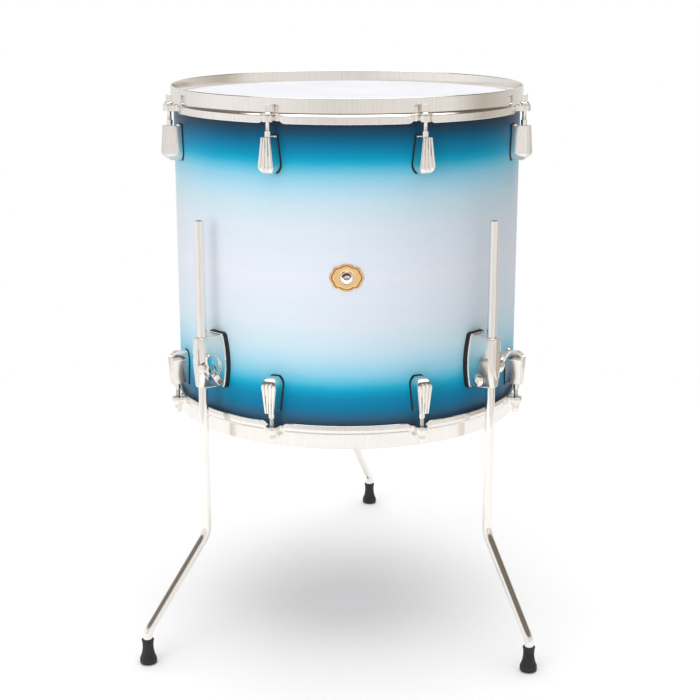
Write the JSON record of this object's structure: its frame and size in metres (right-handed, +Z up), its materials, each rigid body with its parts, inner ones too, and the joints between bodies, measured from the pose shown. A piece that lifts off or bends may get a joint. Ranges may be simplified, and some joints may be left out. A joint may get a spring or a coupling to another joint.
{
  "type": "floor tom drum",
  "caption": "Floor-standing tom drum: a deep lacquered drum body, cast counter hoops drawn up by square-headed tension rods, and bent tube legs that slide and swivel in clamp brackets.",
  "frame": {"origin": "on the floor, at the centre of the box around the whole part; the drum's own axis stands at x = 0.0107 m, y = -0.0362 m", "axes": "+Z up, -Y towards the front, where the badge and vent are, +X to the right seen from the front"},
  "size_m": [0.4492, 0.5538, 0.6345],
  "materials": {
    "lacquered_wood": "satin lacquer",
    "badge_brass": "polished",
    "bright_nickel": "polished",
    "satin_nickel": "satin",
    "leg_chrome": "polished",
    "head_film": "matte",
    "flesh_aluminium": "satin",
    "black_rubber": "matte",
    "screw_steel": "satin",
    "plug_plastic": "matte"
  },
  "bodies": {
    "drum": {"drum_shell": "lacquered_wood", "badge": "badge_brass", "vent_grommet": "bright_nickel", "batter_head_film": "head_film", "batter_flesh_hoop": "flesh_aluminium", "batter_lugs": "satin_nickel", "batter_lug_gaskets": "black_rubber", "batter_swivel_nuts": "bright_nickel", "batter_lug_screws": "screw_steel", "resonant_head_film": "head_film", "resonant_flesh_hoop": "flesh_aluminium", "resonant_lugs": "satin_nickel", "resonant_lug_gaskets": "black_rubber", "resonant_swivel_nuts": "bright_nickel", "resonant_lug_screws": "screw_steel", "leg_bracket_left": "satin_nickel", "leg_bracket_right": "satin_nickel", "leg_bracket_rear": "satin_nickel", "bracket_gaskets": "black_rubber", "bracket_mounting_screws": "screw_steel", "bracket_side_screws": "bright_nickel"},
    "batter_hoop": {"batter_hoop": "satin_nickel", "batter_rod_washers": "bright_nickel"},
    "batter_rod_1": {"batter_rod_1": "bright_nickel"},
    "batter_rod_2": {"batter_rod_2": "bright_nickel"},
    "batter_rod_3": {"batter_rod_3": "bright_nickel"},
    "batter_rod_4": {"batter_rod_4": "bright_nickel"},
    "batter_rod_5": {"batter_rod_5": "bright_nickel"},
    "batter_rod_6": {"batter_rod_6": "bright_nickel"},
    "batter_rod_7": {"batter_rod_7": "bright_nickel"},
    "batter_rod_8": {"batter_rod_8": "bright_nickel"},
    "resonant_hoop": {"resonant_hoop": "satin_nickel", "resonant_rod_washers": "bright_nickel"},
    "resonant_rod_1": {"resonant_rod_1": "bright_nickel"},
    "resonant_rod_2": {"resonant_rod_2": "bright_nickel"},
    "resonant_rod_3": {"resonant_rod_3": "bright_nickel"},
    "resonant_rod_4": {"resonant_rod_4": "bright_nickel"},
    "resonant_rod_5": {"resonant_rod_5": "bright_nickel"},
    "resonant_rod_6": {"resonant_rod_6": "bright_nickel"},
    "resonant_rod_7": {"resonant_rod_7": "bright_nickel"},
    "resonant_rod_8": {"resonant_rod_8": "bright_nickel"},
    "leg_height_left": {"leg_end_plug_left": "plug_plastic"},
    "leg_left": {"leg_rod_left": "leg_chrome", "leg_foot_left": "black_rubber"},
    "eyebolt_left": {"eyebolt_left": "screw_steel"},
    "wing_nut_left": {"wing_nut_left": "bright_nickel"},
    "leg_height_right": {"leg_end_plug_right": "plug_plastic"},
    "leg_right": {"leg_rod_right": "leg_chrome", "leg_foot_right": "black_rubber"},
    "eyebolt_right": {"eyebolt_right": "screw_steel"},
    "wing_nut_right": {"wing_nut_right": "bright_nickel"},
    "leg_height_rear": {"leg_end_plug_rear": "plug_plastic"},
    "leg_rear": {"leg_rod_rear": "leg_chrome", "leg_foot_rear": "black_rubber"},
    "eyebolt_rear": {"eyebolt_rear": "screw_steel"},
    "wing_nut_rear": {"wing_nut_rear": "bright_nickel"}
  },
  "joints": [
    {"name": "batter_tension", "type": "slide", "parent": "drum", "child": "batter_hoop", "axis": [0, 0, 1], "range_m": [0, 0.00423]},
    {"name": "batter_rod_1_turn", "type": "hinge", "parent": "batter_hoop", "child": "batter_rod_1", "pos_m": [0.20922, 0.04602, 0.6184], "axis": [0, 0, 1], "range_deg": [0, 1441]},
    {"name": "batter_rod_2_turn", "type": "hinge", "parent": "batter_hoop", "child": "batter_rod_2", "pos_m": [0.09291, 0.16232, 0.6184], "axis": [0, 0, 1], "range_deg": [0, 1441]},
    {"name": "batter_rod_3_turn", "type": "hinge", "parent": "batter_hoop", "child": "batter_rod_3", "pos_m": [-0.07157, 0.16232, 0.6184], "axis": [0, 0, 1], "range_deg": [0, 1441]},
    {"name": "batter_rod_4_turn", "type": "hinge", "parent": "batter_hoop", "child": "batter_rod_4", "pos_m": [-0.18787, 0.04602, 0.6184], "axis": [0, 0, 1], "range_deg": [0, 1441]},
    {"name": "batter_rod_5_turn", "type": "hinge", "parent": "batter_hoop", "child": "batter_rod_5", "pos_m": [-0.18787, -0.11846, 0.6184], "axis": [0, 0, 1], "range_deg": [0, 1441]},
    {"name": "batter_rod_6_turn", "type": "hinge", "parent": "batter_hoop", "child": "batter_rod_6", "pos_m": [-0.07157, -0.23477, 0.6184], "axis": [0, 0, 1], "range_deg": [0, 1441]},
    {"name": "batter_rod_7_turn", "type": "hinge", "parent": "batter_hoop", "child": "batter_rod_7", "pos_m": [0.09291, -0.23477, 0.6184], "axis": [0, 0, 1], "range_deg": [0, 1441]},
    {"name": "batter_rod_8_turn", "type": "hinge", "parent": "batter_hoop", "child": "batter_rod_8", "pos_m": [0.20922, -0.11846, 0.6184], "axis": [0, 0, 1], "range_deg": [0, 1441]},
    {"name": "resonant_tension", "type": "slide", "parent": "drum", "child": "resonant_hoop", "axis": [0, 0, -1], "range_m": [0, 0.00423]},
    {"name": "resonant_rod_1_turn", "type": "hinge", "parent": "resonant_hoop", "child": "resonant_rod_1", "pos_m": [0.20922, -0.11846, 0.269], "axis": [0, 0, -1], "range_deg": [0, 1441]},
    {"name": "resonant_rod_2_turn", "type": "hinge", "parent": "resonant_hoop", "child": "resonant_rod_2", "pos_m": [0.09291, -0.23477, 0.269], "axis": [0, 0, -1], "range_deg": [0, 1441]},
    {"name": "resonant_rod_3_turn", "type": "hinge", "parent": "resonant_hoop", "child": "resonant_rod_3", "pos_m": [-0.07157, -0.23477, 0.269], "axis": [0, 0, -1], "range_deg": [0, 1441]},
    {"name": "resonant_rod_4_turn", "type": "hinge", "parent": "resonant_hoop", "child": "resonant_rod_4", "pos_m": [-0.18787, -0.11846, 0.269], "axis": [0, 0, -1], "range_deg": [0, 1441]},
    {"name": "resonant_rod_5_turn", "type": "hinge", "parent": "resonant_hoop", "child": "resonant_rod_5", "pos_m": [-0.18787, 0.04602, 0.269], "axis": [0, 0, -1], "range_deg": [0, 1441]},
    {"name": "resonant_rod_6_turn", "type": "hinge", "parent": "resonant_hoop", "child": "resonant_rod_6", "pos_m": [-0.07157, 0.16232, 0.269], "axis": [0, 0, -1], "range_deg": [0, 1441]},
    {"name": "resonant_rod_7_turn", "type": "hinge", "parent": "resonant_hoop", "child": "resonant_rod_7", "pos_m": [0.09291, 0.16232, 0.269], "axis": [0, 0, -1], "range_deg": [0, 1441]},
    {"name": "resonant_rod_8_turn", "type": "hinge", "parent": "resonant_hoop", "child": "resonant_rod_8", "pos_m": [0.20922, 0.04602, 0.269], "axis": [0, 0, -1], "range_deg": [0, 1441]},
    {"name": "leg_height_left", "type": "slide", "parent": "drum", "child": "leg_height_left", "axis": [0, 0, 1], "range_m": [-0.1, 0.07]},
    {"name": "leg_swivel_left", "type": "hinge", "parent": "leg_height_left", "child": "leg_left", "pos_m": [-0.14984, -0.19674, 0.335], "axis": [0, 0, 1], "continuous": true},
    {"name": "wing_nut_left_turn", "type": "hinge", "parent": "drum", "child": "wing_nut_left", "pos_m": [-0.14111, -0.20547, 0.335], "axis": [0.7071, -0.7071, 0], "range_deg": [0, 360]},
    {"name": "eyebolt_left_slide", "type": "slide", "parent": "drum", "child": "eyebolt_left", "axis": [-0.7071, 0.7071, 0], "range_m": [0, 0.00101]},
    {"name": "leg_height_right", "type": "slide", "parent": "drum", "child": "leg_height_right", "axis": [0, 0, 1], "range_m": [-0.1, 0.07]},
    {"name": "leg_swivel_right", "type": "hinge", "parent": "leg_height_right", "child": "leg_right", "pos_m": [0.17119, -0.19674, 0.335], "axis": [0, 0, 1], "continuous": true},
    {"name": "wing_nut_right_turn", "type": "hinge", "parent": "drum", "child": "wing_nut_right", "pos_m": [0.17992, -0.188, 0.335], "axis": [0.7071, 0.7071, 0], "range_deg": [0, 360]},
    {"name": "eyebolt_right_slide", "type": "slide", "parent": "drum", "child": "eyebolt_right", "axis": [-0.7071, -0.7071, 0], "range_m": [0, 0.00101]},
    {"name": "leg_height_rear", "type": "slide", "parent": "drum", "child": "leg_height_rear", "axis": [0, 0, 1], "range_m": [-0.1, 0.07]},
    {"name": "leg_swivel_rear", "type": "hinge", "parent": "leg_height_rear", "child": "leg_rear", "pos_m": [0.01067, 0.19078, 0.335], "axis": [0, 0, 1], "continuous": true},
    {"name": "wing_nut_rear_turn", "type": "hinge", "parent": "drum", "child": "wing_nut_rear", "pos_m": [-0.00168, 0.19078, 0.335], "axis": [-1, 0, 0], "range_deg": [0, 360]},
    {"name": "eyebolt_rear_slide", "type": "slide", "parent": "drum", "child": "eyebolt_rear", "axis": [1, 0, 0], "range_m": [0, 0.00101]}
  ],
  "couplings": [
    {"joint": "batter_rod_1_turn", "follows": "batter_tension", "rad_per_m": 5936.9},
    {"joint": "batter_rod_2_turn", "follows": "batter_tension", "rad_per_m": 5936.9},
    {"joint": "batter_rod_3_turn", "follows": "batter_tension", "rad_per_m": 5936.9},
    {"joint": "batter_rod_4_turn", "follows": "batter_tension", "rad_per_m": 5936.9},
    {"joint": "batter_rod_5_turn", "follows": "batter_tension", "rad_per_m": 5936.9},
    {"joint": "batter_rod_6_turn", "follows": "batter_tension", "rad_per_m": 5936.9},
    {"joint": "batter_rod_7_turn", "follows": "batter_tension", "rad_per_m": 5936.9},
    {"joint": "batter_rod_8_turn", "follows": "batter_tension", "rad_per_m": 5936.9},
    {"joint": "resonant_rod_1_turn", "follows": "resonant_tension", "rad_per_m": 5936.9},
    {"joint": "resonant_rod_2_turn", "follows": "resonant_tension", "rad_per_m": 5936.9},
    {"joint": "resonant_rod_3_turn", "follows": "resonant_tension", "rad_per_m": 5936.9},
    {"joint": "resonant_rod_4_turn", "follows": "resonant_tension", "rad_per_m": 5936.9},
    {"joint": "resonant_rod_5_turn", "follows": "resonant_tension", "rad_per_m": 5936.9},
    {"joint": "resonant_rod_6_turn", "follows": "resonant_tension", "rad_per_m": 5936.9},
    {"joint": "resonant_rod_7_turn", "follows": "resonant_tension", "rad_per_m": 5936.9},
    {"joint": "resonant_rod_8_turn", "follows": "resonant_tension", "rad_per_m": 5936.9},
    {"joint": "eyebolt_left_slide", "follows": "wing_nut_left_turn", "m_per_rad": 0.00015915},
    {"joint": "eyebolt_right_slide", "follows": "wing_nut_right_turn", "m_per_rad": 0.00015915},
    {"joint": "eyebolt_rear_slide", "follows": "wing_nut_rear_turn", "m_per_rad": 0.00015915}
  ]
}
